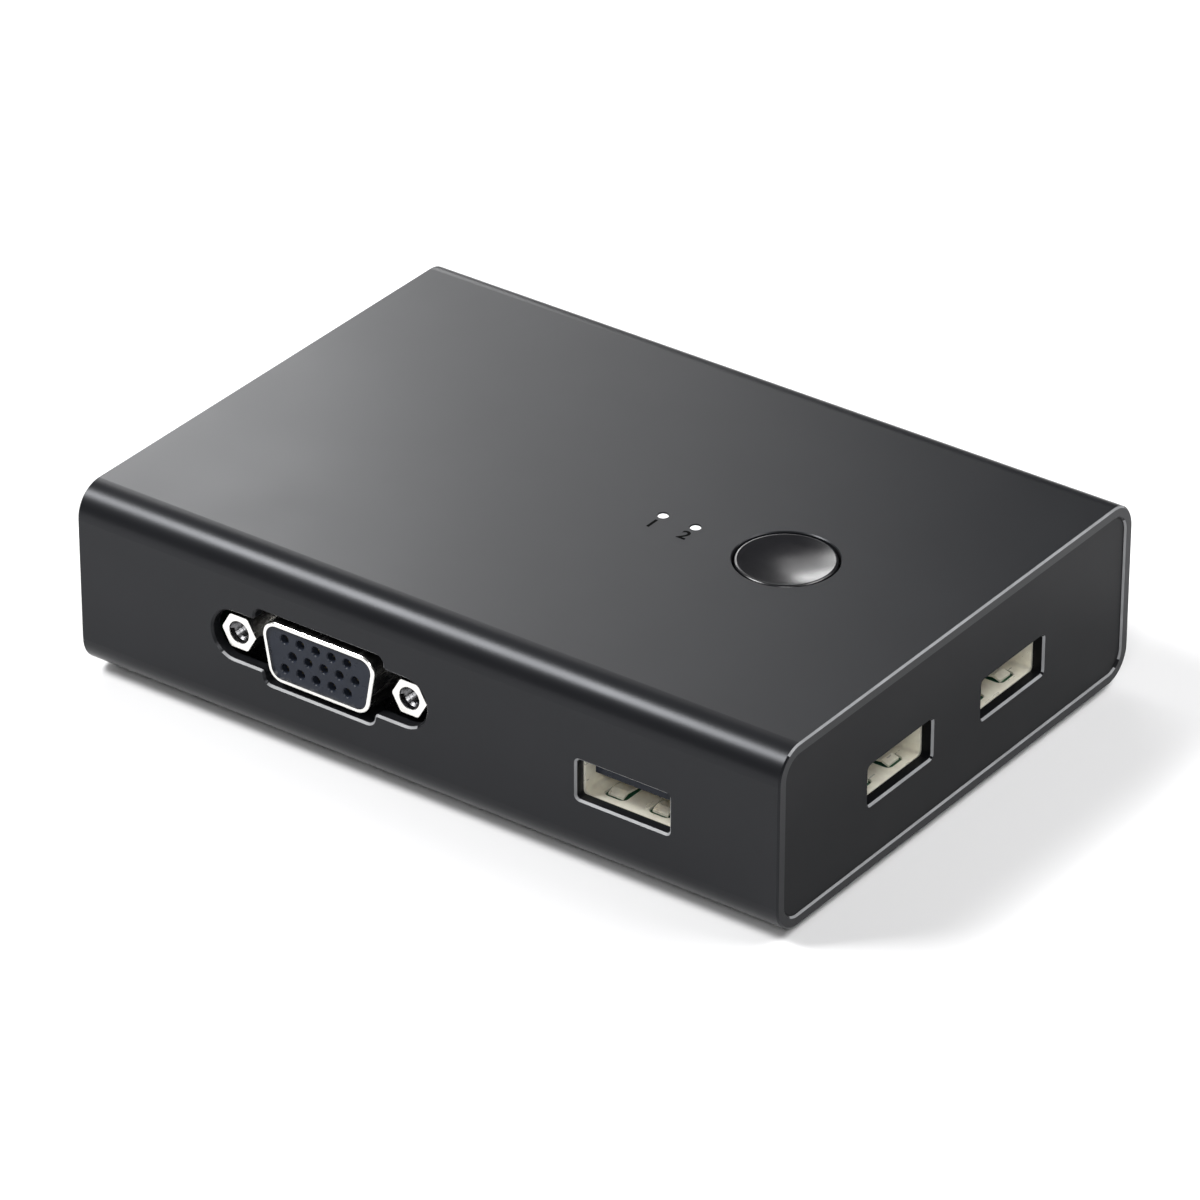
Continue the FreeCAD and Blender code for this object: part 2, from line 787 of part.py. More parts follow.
def jackscrew(x):
    """Hexagonal standoff with a threaded socket in its face and a stud behind."""
    corner_radius = jack_across_flats / 2 / math.cos(math.pi / 6)
    points = [(x + corner_radius * math.cos(turn * math.pi / 3),
               vga_z + corner_radius * math.sin(turn * math.pi / 3)) for turn in range(6)]
    head = prism(points, 0, (jack_front, vga_flange_front), "Y")
    front = Vector(x, jack_front, vga_z)
    cone_base = front + Y * (jack_edge_chamfer + MARGIN) * math.tan(math.pi / 6)
    rounding = cone(corner_radius - jack_edge_chamfer, corner_radius + MARGIN, front, cone_base)
    rest = cylinder(corner_radius + MARGIN, cone_base, Vector(x, vga_flange_front, vga_z))
    head = head.common(rounding.fuse(rest))
    stud = cylinder(jack_stud_radius, Vector(x, vga_flange_front, vga_z), Vector(x, jack_stud_end, vga_z))
    thread_end = front + Y * (jack_mouth_depth + jack_thread_depth)
    thread = cylinder(jack_thread_radius, front - Y * MARGIN, thread_end)
    mouth = cone(jack_mouth_radius, jack_thread_radius, front, front + Y * jack_mouth_depth)
    return head.fuse(stud).cut([thread, mouth]).removeSplitter()


def jackscrews():
    """The pair of jackscrews of one video socket."""
    return group([jackscrew(x) for x in around(0, vga_screw_spacing / 2)])


# USB type A socket

def usb_a_bar(grow, y_range):
    """Bar with the socket's inner section, grown by a wall."""
    points = rectangle(around(0, usb_a_inner_width / 2 + grow),
                       around(usb_a_z, usb_a_inner_height / 2 + grow))
    return prism(points, usb_a_corner + grow, y_range, "Y")


def usb_a_finger(x, upper):
    """Spring finger struck out of the socket's floor or ceiling, bent up to a crest near its tip."""
    floor = usb_a_z - usb_a_inner_height / 2
    root, tip = usb_a_finger_end, usb_a_finger_start + usb_a_slot_width
    crest = tip + usb_a_finger_crest
    upper_face = [(root + usb_a_finger_root, floor), (root, floor),
                  (crest, floor + usb_a_finger_lift), (tip, floor + usb_a_finger_tip_lift)]
    lower_face = [(y, z - usb_a_wall) for y, z in reversed(upper_face)]
    corners = [Vector(x - usb_a_finger_width / 2, y, z) for y, z in upper_face + lower_face]
    face = Part.Face(Part.makePolygon(corners + corners[:1]))
    finger = face.extrude(X * usb_a_finger_width)
    if upper:
        finger = finger.mirror(Vector(0, 0, usb_a_z), Z)
    return finger


def usb_a_shell():
    """Folded metal shell with spring fingers and board locks."""
    body = usb_a_bar(usb_a_wall, (0, usb_a_depth))
    cavity = usb_a_bar(0, (-MARGIN, usb_a_depth - usb_a_wall))
    body = body.cut(cavity)
    floor = usb_a_z - usb_a_inner_height / 2
    slot_half = usb_a_finger_width / 2 + usb_a_slot_width
    removals = []
    fingers = []
    for x in (-usb_a_finger_offset, usb_a_finger_offset):
        points = rectangle(around(x, slot_half), (usb_a_finger_start, usb_a_finger_end))
        removals.append(prism(points, [slot_half / 2, slot_half / 2, 0, 0],
                              (floor - MARGIN, usb_a_z + usb_a_inner_height), "Z"))
        fingers += [usb_a_finger(x, False), usb_a_finger(x, True)]
    contact_span = usb_a_contact_x[-1] + usb_a_contact_width
    removals.append(box(around(0, contact_span), (usb_a_open_floor, usb_a_depth + MARGIN),
                        (floor - MARGIN, floor + usb_a_wall)))
    locks = [box(x_range, around(y, usb_a_lock_length / 2), (tail_end, usb_a_z))
             for y in usb_a_lock_places for x_range in usb_a_lock_sides()]
    return body.cut(removals).fuse(fingers + locks).removeSplitter()


def usb_a_lock_sides():
    """X limits of the shell's two side walls."""
    inner = usb_a_inner_width / 2
    return [(-inner - usb_a_wall, -inner), (inner, inner + usb_a_wall)]


def usb_a_contact(x):
    """Strip along the tongue's underside that turns down to the board."""
    low = usb_a_z + usb_a_inner_height / 2 - usb_a_tongue_drop - usb_a_tongue_thickness
    x_range = around(x, usb_a_contact_width / 2)
    strip = box(x_range, (usb_a_contact_front, usb_a_contact_bend), around(low, usb_a_contact_thickness / 2))
    tail = box(x_range, (usb_a_contact_bend, usb_a_contact_bend + usb_a_contact_thickness),
               (tail_end, low + usb_a_contact_thickness / 2))
    return strip.fuse(tail).removeSplitter()


def usb_a_contacts():
    """Four contacts of one type A socket."""
    return group([usb_a_contact(x) for x in usb_a_contact_x])


def usb_a_insulator():
    """Rear block and the tongue that stands out of it."""
    gap = usb_a_block_gap
    high = usb_a_z + usb_a_inner_height / 2
    tongue_top = high - usb_a_tongue_drop
    block_points = rectangle(around(0, usb_a_inner_width / 2 - gap),
                             (usb_a_z - usb_a_inner_height / 2 + gap, high - gap))
    block = prism(block_points, usb_a_corner, (usb_a_block_front, usb_a_block_back), "Y")
    tongue = box(around(0, usb_a_tongue_width / 2), (usb_a_tongue_front, usb_a_block_front),
                 (tongue_top - usb_a_tongue_thickness, tongue_top))
    return block.fuse(tongue).cut([usb_a_contact(x) for x in usb_a_contact_x]).removeSplitter()


# USB type B socket

def usb_b_shell():
    """Folded metal box with a framed mouth and two board locks."""
    low, high = around(usb_b_z, usb_b_height / 2)
    half_width = usb_b_width / 2
    points = rectangle(around(0, half_width), (low, high))
    body = prism(points, usb_b_corner, (0, usb_b_depth), "Y")
    inner = rectangle(around(0, half_width - usb_b_wall), (low + usb_b_wall, high - usb_b_wall))
    cavity = prism(inner, usb_b_corner - usb_b_wall, (usb_b_wall, usb_b_depth - usb_b_wall), "Y")
    mouth = prism(usb_b_points(0), usb_b_opening_corner, (-MARGIN, usb_b_wall + MARGIN), "Y")
    open_floor = box(around(0, half_width - 2 * usb_b_wall),
                     (usb_b_contact_bends[0] - MARGIN, usb_b_depth + MARGIN),
                     (low - MARGIN, low + 2 * usb_b_wall))
    locks = [box((x, x + usb_b_wall), around(usb_b_lock_y, usb_b_lock_length / 2), (tail_end, usb_b_z))
             for x in (-half_width, half_width - usb_b_wall)]
    return body.cut([cavity, mouth, open_floor]).fuse(locks).removeSplitter()


def usb_b_contact(x, level):
    """Strip above or below the tongue that turns down to the board."""
    z = usb_b_z + level * usb_b_tongue_height / 2
    bend = usb_b_contact_bends[1] if level > 0 else usb_b_contact_bends[0]
    x_range = around(x, usb_b_contact_width / 2)
    half = usb_b_contact_thickness / 2
    strip = box(x_range, (usb_b_contact_front, bend), around(z, half))
    tail = box(x_range, (bend, bend + usb_b_contact_thickness), (tail_end, z + half))
    return strip.fuse(tail).removeSplitter()


def usb_b_contact_set():
    """The four strips of one type B socket."""
    return [usb_b_contact(x, level) for level in (1, -1) for x in (-usb_b_contact_x, usb_b_contact_x)]


def usb_b_contacts():
    """Four contacts of one type B socket."""
    return group(usb_b_contact_set())


def usb_b_insulator():
    """Moulded body with the plug cavity and its central tongue."""
    skin = usb_b_wall + sliding_gap
    low, high = around(usb_b_z, usb_b_height / 2 - skin)
    points = rectangle(around(0, usb_b_width / 2 - skin), (low, high))
    body = prism(points, usb_b_wall, (skin, usb_b_depth - skin), "Y")
    cavity = prism(usb_b_points(0), usb_b_opening_corner, (-MARGIN, usb_b_floor_y), "Y")
    tongue = box(around(0, usb_b_tongue_width / 2), (usb_b_tongue_front, usb_b_floor_y),
                 around(usb_b_z, usb_b_tongue_height / 2))
    return body.cut(cavity).fuse(tongue).cut(usb_b_contact_set()).removeSplitter()


# Select button and push switch

def select_button():
    """Dished cap with a retaining flange and a ribbed stem."""
    cap = upright(button_radius, button_x, 0, button_flange_top - button_flange_thickness, button_top)
    cap = cap.makeFillet(button_rim_fillet, edges_at(cap, "Z", button_top))
    sphere_radius = (dish_radius ** 2 + dish_depth ** 2) / (2 * dish_depth)
    dish = Part.makeSphere(sphere_radius, Vector(button_x, 0, button_top - dish_depth + sphere_radius))
    flange_bottom = button_flange_top - button_flange_thickness
    flange = upright(button_flange_radius, button_x, 0, flange_bottom, button_flange_top)
    long_side = button_stem_width / 2
    short_side = button_stem_rib / 2
    z_range = (board_top + switch_stem_height, flange_bottom + MARGIN / 2)
    ribs = [box(around(button_x, long_side), around(0, short_side), z_range),
            box(around(button_x, short_side), around(0, long_side), z_range)]
    return cap.fuse([flange] + ribs).cut(dish).removeSplitter()


def on_switch(shape):
    """Switch part moved from its own origin to its place on the board."""
    shape.translate(Vector(button_x, 0, board_top))
    return shape


def switch_body():
    """Moulded switch base with a round well for the dome and plunger."""
    half = switch_size / 2
    body = box(around(0, half), around(0, half), (0, switch_height))
    well = upright(switch_cavity_radius, 0, 0, switch_cavity_floor, switch_height + MARGIN)
    return on_switch(body.cut(well))


def switch_cover():
    """Metal plate over the switch base."""
    half = switch_size / 2
    plate = box(around(0, half), around(0, half), (switch_height, switch_height + switch_cover_thickness))
    hole = upright(switch_cover_hole, 0, 0, switch_height - MARGIN, switch_height + MARGIN)
    return on_switch(plate.cut(hole))


def switch_plunger():
    """Plunger with a disc that the cover holds in."""
    disc = upright(switch_disc_radius, 0, 0, switch_disc_bottom, switch_disc_top)
    stem = upright(switch_stem_radius, 0, 0, switch_disc_top, switch_stem_height)
    return on_switch(disc.fuse(stem).removeSplitter())


def switch_dome():
    """Thin snap dome that springs the plunger back."""
    base = switch_cavity_floor
    outer_radius = (switch_dome_radius ** 2 + switch_dome_height ** 2) / (2 * switch_dome_height)
    centre = Vector(0, 0, base + switch_dome_height - outer_radius)
    outer = Part.makeSphere(outer_radius, centre)
    inner = Part.makeSphere(outer_radius - switch_dome_thickness, centre)
    slab = upright(switch_cavity_radius, 0, 0, base, base + MARGIN)
    return on_switch(outer.cut(inner).common(slab))


def switch_legs():
    """Four solder legs of the push switch."""
    leg_y = (switch_size + switch_leg_thickness) / 2
    z_range = (tail_end - board_top, switch_leg_top)
    legs = [box(around(x, switch_leg_width / 2), around(y, switch_leg_thickness / 2), z_range)
            for x in around(0, switch_leg_x) for y in around(0, leg_y)]
    return group([on_switch(leg) for leg in legs])


# Indicator lights

def light_pipe(x):
    """Clear pipe from a chip light up to its window."""
    rod = upright(light_rod_radius, x, light_y, light_rod_bottom, ceiling)
    tip = upright(light_tip_radius, x, light_y, ceiling, case_top - light_tip_recess)
    return rod.fuse(tip).removeSplitter()


def status_led(x):
    """Chip light on the board."""
    return box(around(x, led_length / 2), around(light_y, led_width / 2), (board_top, board_top + led_height))


# Board and its other parts

def chip_package(centre, size, lead_count):
    """Square chip body with a row of leads along each side."""
    x, y = centre
    length, width, height = size
    standing = board_top + lead_thickness
    body = box(around(x, length / 2), around(y, width / 2), (standing, board_top + height))
    leads = []
    for turn in range(4):
        half = length / 2
        pitch = length / (lead_count + 1)
        for index in range(lead_count):
            offset = (index - (lead_count - 1) / 2) * pitch
            lead = box((half, half + lead_reach), around(offset, lead_width / 2),
                       (board_top, board_top + lead_thickness))
            riser = box((half, half + lead_thickness), around(offset, lead_width / 2),
                        (board_top, board_top + lead_height))
            pin = lead.fuse(riser).removeSplitter()
            pin.rotate(Vector(0, 0, 0), Z, 90 * turn)
            pin.translate(Vector(x, y, 0))
            leads.append(pin)
    return group([body] + leads)


def crystal():
    """Low metal can of the clock crystal."""
    x, y = crystal_centre
    points = rectangle(around(x, crystal_length / 2), around(y, crystal_width / 2))
    return prism(points, crystal_width / 2 - EPSILON, (board_top, board_top + crystal_height), "Z")


def voltage_regulator():
    """Regulator body with its heat tab and three leads."""
    x, y = regulator_centre
    length, width, height = regulator_size
    tab_length, tab_reach, tab_height = regulator_tab
    body = box(around(x, length / 2), around(y, width / 2), (board_top, board_top + height))
    tab = box(around(x, tab_length / 2), (y + width / 2, y + width / 2 + tab_reach),
              (board_top, board_top + tab_height))
    leads = [box(around(x + offset, tab_height), (y - width / 2 - tab_reach, y - width / 2),
                 (board_top, board_top + tab_height)) for offset in (-regulator_pitch, 0, regulator_pitch)]
    return group([body, tab] + leads)


def electrolytic_capacitor(x, y):
    """Upright can with a rolled groove above its square base."""
    base = box(around(x, capacitor_radius), around(y, capacitor_radius),
               (board_top, board_top + capacitor_base))
    can = upright(capacitor_radius, x, y, board_top + capacitor_base, board_top + capacitor_height)
    groove = Part.makeTorus(capacitor_radius + capacitor_groove / 2, capacitor_groove,
                            Vector(x, y, board_top + capacitor_groove_height))
    return base.fuse(can.cut(groove)).removeSplitter()


def chip_rows(rows):
    """Rows of small two-ended chips."""
    length, width, height = chip_size
    chips = []
    for x, y, count in rows:
        for index in range(count):
            centre = x + index * chip_pitch
            chips.append(box(around(centre, length / 2), around(y, width / 2),
                             (board_top, board_top + height)))
    return group(chips)


def socket_tails():
    """Every pin and lock that passes down through the board."""
    vga_tails = group([vga_contacts(), vga_brackets()])
    usb_a_tails = group([usb_a_shell(), usb_a_contacts()])
    usb_b_tails = group([usb_b_shell(), usb_b_contacts()])
    placed = [on_front(vga_tails, front_vga_x, 0)]
    placed += [on_back(vga_tails, x, 0) for x in back_vga_x]
    placed.append(on_front(usb_a_tails, front_usb_x, wall + usb_a_shell_gap))
    placed += [on_right(usb_a_tails, y, panel_thickness + usb_a_shell_gap) for y in side_usb_y]
    placed += [on_back(usb_b_tails, x, wall + usb_a_shell_gap) for x in back_usb_x]
    placed.append(switch_legs())
    return [solid for shape in placed for solid in shape.Solids]


def tail_holes():
    """Square-cornered holes around every tail, read from its section at board level."""
    holes = []
    middle = board_bottom + board_thickness / 2
    sheet = box(around(0, half_length), around(0, half_depth), around(middle, board_thickness / 4))
    for tail in socket_tails():
        for piece in tail.common(sheet).Solids:
            bounds = piece.BoundBox
            holes.append(box((bounds.XMin - tail_hole_gap, bounds.XMax + tail_hole_gap),
                             (bounds.YMin - tail_hole_gap, bounds.YMax + tail_hole_gap),
                             (board_bottom - MARGIN, board_top + MARGIN)))
    return holes


def circuit_board():
    """Board with tabs that run forward and back under the USB sockets."""
    main = prism(rectangle(around(0, board_half_length), around(0, board_half_depth)),
                 board_corner_radius, (board_bottom, board_top), "Z")
    half_flange = vga_flange_width / 2 + MARGIN / 2
    tab_spans = [(front_vga_x + half_flange, board_half_length, -1),
                 (back_vga_x[0] + half_flange, back_vga_x[1] - half_flange, 1),
                 (back_vga_x[1] + half_flange, board_half_length, 1)]
    tabs = []
    for x_low, x_high, side in tab_spans:
        y_range = sorted((side * (board_half_depth - 2 * board_corner_radius), side * board_tab_y))
        tabs.append(box((x_low, x_high), y_range, (board_bottom, board_top)))
    holes = [upright(board_hole_radius, x, y, board_bottom - MARGIN, board_top + MARGIN)
             for x, y in case_screw_points + board_screw_points]
    return main.fuse(tabs).cut(holes + tail_holes()).removeSplitter()


# Nodes

def vga_nodes(name, place):
    """The five pieces of one video socket."""
    pieces = {"shell": vga_shell(), "insulator": vga_insulator(), "contacts": vga_contacts(),
              "brackets": vga_brackets(), "jackscrews": jackscrews()}
    return {f"{name}_{piece}": place(shape) for piece, shape in pieces.items()}


def usb_a_nodes(name, place):
    """The three pieces of one type A socket."""
    pieces = {"shell": usb_a_shell(), "insulator": usb_a_insulator(), "contacts": usb_a_contacts()}
    return {f"{name}_{piece}": place(shape) for piece, shape in pieces.items()}


def usb_b_nodes(name, place):
    """The three pieces of one type B socket."""
    pieces = {"shell": usb_b_shell(), "insulator": usb_b_insulator(), "contacts": usb_b_contacts()}
    return {f"{name}_{piece}": place(shape) for piece, shape in pieces.items()}


def all_nodes():
    """Every node of the switch by name."""
    nodes = {
        "upper_shell": upper_shell(),
        "bottom_cover": bottom_cover(),
        "left_end_panel": left_end_panel(),
        "right_end_panel": right_end_panel(),
        "rubber_feet": rubber_feet(),
        "rating_label": rating_label(),
        "case_screws": group([case_screw(x, y) for x, y in case_screw_points]),
        "board_screws": group([board_screw(x, y) for x, y in board_screw_points]),
        "circuit_board": circuit_board(),
        "select_button": select_button(),
        "switch_body": switch_body(),
        "switch_cover": switch_cover(),
        "switch_plunger": switch_plunger(),
        "switch_dome": switch_dome(),
        "switch_legs": switch_legs(),
        "video_switch_chip": chip_package(video_ic_centre, video_ic_size, video_ic_leads),
        "usb_switch_chip": chip_package(usb_ic_centre, usb_ic_size, usb_ic_leads),
        "usb_hub_chip": chip_package(hub_ic_centre, hub_ic_size, hub_ic_leads),
        "clock_crystal": crystal(),
        "voltage_regulator": voltage_regulator(),
        "electrolytic_capacitors": group([electrolytic_capacitor(x, y) for x, y in capacitor_points]),
        "chip_resistors": chip_rows(chip_resistor_rows),
        "chip_capacitors": chip_rows(chip_capacitor_rows),
    }
    for number, x in enumerate(light_x, start=1):
        nodes[f"light_pipe_{number}"] = light_pipe(x)
        nodes[f"status_led_{number}"] = status_led(x)
    nodes.update(vga_nodes("screen_vga", lambda shape: on_front(shape, front_vga_x, 0)))
    for number, x in enumerate(back_vga_x, start=1):
        nodes.update(vga_nodes(f"computer_vga_{number}", lambda shape: on_back(shape, x, 0)))
    usb_depth = wall + usb_a_shell_gap
    side_depth = panel_thickness + usb_a_shell_gap
    nodes.update(usb_a_nodes("front_usb", lambda shape: on_front(shape, front_usb_x, usb_depth)))
    for number, y in enumerate(side_usb_y, start=1):
        nodes.update(usb_a_nodes(f"side_usb_{number}", lambda shape: on_right(shape, y, side_depth)))
    for number, x in enumerate(back_usb_x, start=1):
        nodes.update(usb_b_nodes(f"computer_usb_{number}", lambda shape: on_back(shape, x, usb_depth)))
    return nodes


os.makedirs("parts", exist_ok=True)
for node_name, node_shape in all_nodes().items():
    solids = len(node_shape.Solids)
    print(node_name, "solids", solids, "valid", node_shape.isValid(), "volume", round(node_shape.Volume, 3))
    node_shape.exportStep(f"parts/{node_name}.step")
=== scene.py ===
import math

import bmesh
import bpy
from mathutils import Matrix, Vector


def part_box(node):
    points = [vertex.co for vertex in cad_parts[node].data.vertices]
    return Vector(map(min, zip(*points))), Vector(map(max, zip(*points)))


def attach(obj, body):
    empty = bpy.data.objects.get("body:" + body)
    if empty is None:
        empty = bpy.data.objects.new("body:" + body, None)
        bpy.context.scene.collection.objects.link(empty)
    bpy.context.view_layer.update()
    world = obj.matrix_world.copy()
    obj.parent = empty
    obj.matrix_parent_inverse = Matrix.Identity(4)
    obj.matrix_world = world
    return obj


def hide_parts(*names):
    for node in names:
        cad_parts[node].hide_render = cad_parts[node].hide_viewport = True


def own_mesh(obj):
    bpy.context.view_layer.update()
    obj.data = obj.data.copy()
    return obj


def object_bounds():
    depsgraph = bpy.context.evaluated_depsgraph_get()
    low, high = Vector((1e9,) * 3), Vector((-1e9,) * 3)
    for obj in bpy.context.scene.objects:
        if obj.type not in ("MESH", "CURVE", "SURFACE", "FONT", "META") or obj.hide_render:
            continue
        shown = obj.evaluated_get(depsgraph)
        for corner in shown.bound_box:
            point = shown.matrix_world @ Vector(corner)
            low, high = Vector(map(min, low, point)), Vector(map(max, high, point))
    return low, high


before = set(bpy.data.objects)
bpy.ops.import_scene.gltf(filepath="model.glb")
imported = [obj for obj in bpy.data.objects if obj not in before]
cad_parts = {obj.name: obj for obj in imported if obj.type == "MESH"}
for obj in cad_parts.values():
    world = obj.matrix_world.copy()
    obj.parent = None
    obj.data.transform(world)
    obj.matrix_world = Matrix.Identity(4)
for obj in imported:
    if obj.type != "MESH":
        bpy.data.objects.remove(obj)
cad_low, cad_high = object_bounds()

# Desktop video and USB switch: looks, light and camera. Metres, in the CAD model's frame.
MM = 0.001
X, Y, Z = range(3)

# Camera: a long lens, above and to the right of the front. The ratio is focal length to sensor width.
camera_azimuth = math.radians(36.111)
camera_elevation = math.radians(30.674)
camera_roll = math.radians(0.074)
camera_distance = 0.8967
camera_offset = (-0.000514, 0.009087)
camera_focal_ratio = 6.279167
camera_clip = (0.01, 20.0)
sensor_width = 36.0

# Soft boxes: azimuth and elevation in degrees, distance, two sides and power in watts.
light_target = (0, 0, 0.012)
soft_boxes = {
    "front_left_key": (219, 51, 0.7, (0.27, 0.2), 6.8),
    "back_right_fill": (55, 55, 0.7, (0.3, 0.25), 1.6),
    "back_right_edge": (54, 31, 0.7, (0.1, 0.1), 0.3),
    "right_floor_fill": (20, 50, 0.32, (0.15, 0.15), 0.55),
    "back_left_low": (133, 15, 0.7, (0.2, 0.16), 0.6),
    "back_left_middle": (135, 32, 0.7, (0.3, 0.25), 0.45),
    "left_sheen": (150, 30, 0.32, (0.15, 0.12), 0.28),
    "front_right_fill": (306, 33, 0.8, (0.3, 0.2), 2.4),
}

# Surroundings: how bright they are, and how wide the floor is.
world_strength = 0.06
floor_size = 6.0

# Printed digits. A digit is as high as this share of its font's size.
cap_height = 0.72
digit_height = 1.9 * MM
digit_lift = 0.012 * MM
digit_y = -2.6 * MM
digit_shift = 0.05 * MM
digit_bolder = 0.06 * MM

# Reflections from the black plastic are slightly blue.
cool_sheen = (0.93, 0.95, 1.0, 1.0)

# Noise: the part of its range that patches are mapped from, and how much fine detail they have.
noise_range = (0.3, 0.7)
patch_detail = 3.0
relief_detail = 2.0

# Moulded edges: chamfer faces this near a side of the case, leaning this much towards it, get a painted
# highlight.
edge_depth = 0.5 * MM
edge_lean = (0.6, 0.8)
usb_margin = 1.0 * MM

# Thread inside the jackscrews: 4-40 UNC.
thread_pitch = 0.635 * MM
thread_crest = 1.13 * MM
thread_root = 1.44 * MM
thread_turns = 5
thread_steps = 36
thread_inset = 0.25 * MM
jack_spacing = 24.99 * MM

# A video socket's flange is at least this far behind its rim, and faces straight out; its faces get
# painted shade.
flange_depth = 1.0 * MM
flange_facing = 0.8


# Materials

class Surface:
    """A principled material with helpers for the nodes that vary it."""

    def __init__(self, name, colour, roughness, metallic=0.0):
        self.material = bpy.data.materials.new(name)
        self.material.use_nodes = True
        self.material.diffuse_color = (*colour, 1.0)
        self.nodes = self.material.node_tree.nodes
        self.links = self.material.node_tree.links
        self.shader = self.nodes["Principled BSDF"]
        self.colour = colour
        self.roughness = roughness
        self.shader.inputs["Base Color"].default_value = (*colour, 1.0)
        self.shader.inputs["Roughness"].default_value = roughness
        self.shader.inputs["Metallic"].default_value = metallic
        self.coordinates = self.nodes.new("ShaderNodeTexCoord").outputs["Object"]

    def constant(self, socket, value):
        """Sets one of the shader's own sockets."""
        self.shader.inputs[socket].default_value = value
        return self

    def noise(self, size, detail, stretch):
        """Noise whose features are about this size, longer along an axis with a small stretch."""
        mapping = self.nodes.new("ShaderNodeMapping")
        mapping.inputs["Scale"].default_value = stretch
        self.links.new(self.coordinates, mapping.inputs["Vector"])
        noise = self.nodes.new("ShaderNodeTexNoise")
        noise.inputs["Scale"].default_value = 1 / size
        noise.inputs["Detail"].default_value = detail
        self.links.new(mapping.outputs["Vector"], noise.inputs["Vector"])
        return noise.outputs["Fac"]

    def spread(self, value, low, high):
        """Maps the middle part of a noise's range to low and high."""
        scale = self.nodes.new("ShaderNodeMapRange")
        scale.inputs["From Min"].default_value, scale.inputs["From Max"].default_value = noise_range
        scale.inputs["To Min"].default_value = low
        scale.inputs["To Max"].default_value = high
        self.links.new(value, scale.inputs["Value"])
        return scale.outputs["Result"]

    def vary_colour(self, size, amount, stretch=(1, 1, 1)):
        """Lightens and darkens the colour in soft patches."""
        mix = self.nodes.new("ShaderNodeMix")
        mix.data_type = "RGBA"
        mix.inputs["A"].default_value = (*[part * (1 - amount) for part in self.colour], 1.0)
        mix.inputs["B"].default_value = (*[min(1.0, part * (1 + amount)) for part in self.colour], 1.0)
        factor = self.spread(self.noise(size, patch_detail, stretch), 0.0, 1.0)
        self.links.new(factor, mix.inputs["Factor"])
        self.links.new(mix.outputs["Result"], self.shader.inputs["Base Color"])
        return self

    def vary_roughness(self, size, amount, stretch=(1, 1, 1)):
        """Makes some patches a little glossier than others."""
        patches = self.noise(size, patch_detail, stretch)
        value = self.spread(patches, self.roughness - amount, self.roughness + amount)
        self.links.new(value, self.shader.inputs["Roughness"])
        return self

    def grain(self, size, depth, stretch=(1, 1, 1)):
        """Gives the surface relief of this size and depth."""
        bump = self.nodes.new("ShaderNodeBump")
        bump.inputs["Strength"].default_value = 1.0
        bump.inputs["Distance"].default_value = depth
        self.links.new(self.noise(size, relief_detail, stretch), bump.inputs["Height"])
        self.links.new(bump.outputs["Normal"], self.shader.inputs["Normal"])
        return self


def case_plastic():
    """Black ABS with a very fine satin texture."""
    surface = Surface("case_plastic", (0.0075, 0.0078, 0.009), 0.31)
    surface.constant("Specular IOR Level", 0.20).constant("Specular Tint", cool_sheen)
    return surface.vary_colour(9 * MM, 0.06).vary_roughness(14 * MM, 0.02).grain(0.16 * MM, 0.0012 * MM)


def panel_plastic():
    """Black ABS of the end panels: a darker, less glossy copy of the case plastic, painted shade on the
    ends.
    """
    surface = Surface("panel_plastic", (0.004, 0.0042, 0.005), 0.36)
    surface.constant("Specular IOR Level", 0.09).constant("Specular Tint", cool_sheen)
    return surface.vary_colour(9 * MM, 0.06).vary_roughness(14 * MM, 0.02).grain(0.16 * MM, 0.0012 * MM)


def edge_plastic():
    """Pale colour on the moulded chamfers: a painted highlight along the edges."""
    surface = Surface("edge_plastic", (0.21, 0.213, 0.22), 0.4)
    surface.constant("Specular IOR Level", 0.3)
    return surface.vary_colour(3 * MM, 0.15).vary_roughness(2 * MM, 0.04).grain(0.2 * MM, 0.001 * MM)


def cover_plastic():
    """Black ABS with a coarser matt texture."""
    surface = Surface("cover_plastic", (0.02, 0.02, 0.022), 0.5)
    return surface.vary_colour(8 * MM, 0.08).vary_roughness(10 * MM, 0.04).grain(0.3 * MM, 0.01 * MM)


def polished_plastic():
    """Polished black cap with faint wipe marks."""
    surface = Surface("polished_plastic", (0.006, 0.006, 0.007), 0.23)
    surface.vary_colour(2 * MM, 0.1).vary_roughness(2.5 * MM, 0.02, (1, 2.5, 1))
    return surface.grain(1.2 * MM, 0.001 * MM)


def foot_rubber():
    """Dark rubber with dust in its grain."""
    surface = Surface("foot_rubber", (0.03, 0.03, 0.031), 0.75)
    return surface.vary_colour(1.5 * MM, 0.25).vary_roughness(2 * MM, 0.08).grain(0.15 * MM, 0.012 * MM)


def label_film():
    """Blank satin label."""
    surface = Surface("label_film", (0.42, 0.43, 0.45), 0.38, 0.3)
    return surface.vary_colour(6 * MM, 0.04).vary_roughness(5 * MM, 0.05).grain(0.4 * MM, 0.002 * MM)


def nickel_plate():
    """Bright plated steel with fine rolling marks."""
    surface = Surface("nickel_plate", (0.80, 0.79, 0.76), 0.24, 1.0)
    surface.vary_colour(1.2 * MM, 0.05).vary_roughness(0.9 * MM, 0.06, (1, 0.2, 1))
    return surface.grain(0.12 * MM, 0.0008 * MM, (1, 0.08, 1))


def socket_tin():
    """Soft tin plating of the USB sockets, paler and duller than the nickel."""
    surface = Surface("socket_tin", (0.96, 0.91, 0.78), 0.34, 0.4)
    surface.vary_colour(1.2 * MM, 0.08).vary_roughness(0.9 * MM, 0.08, (1, 0.2, 1))
    return surface.grain(0.3 * MM, 0.0004 * MM, (1, 0.2, 1))


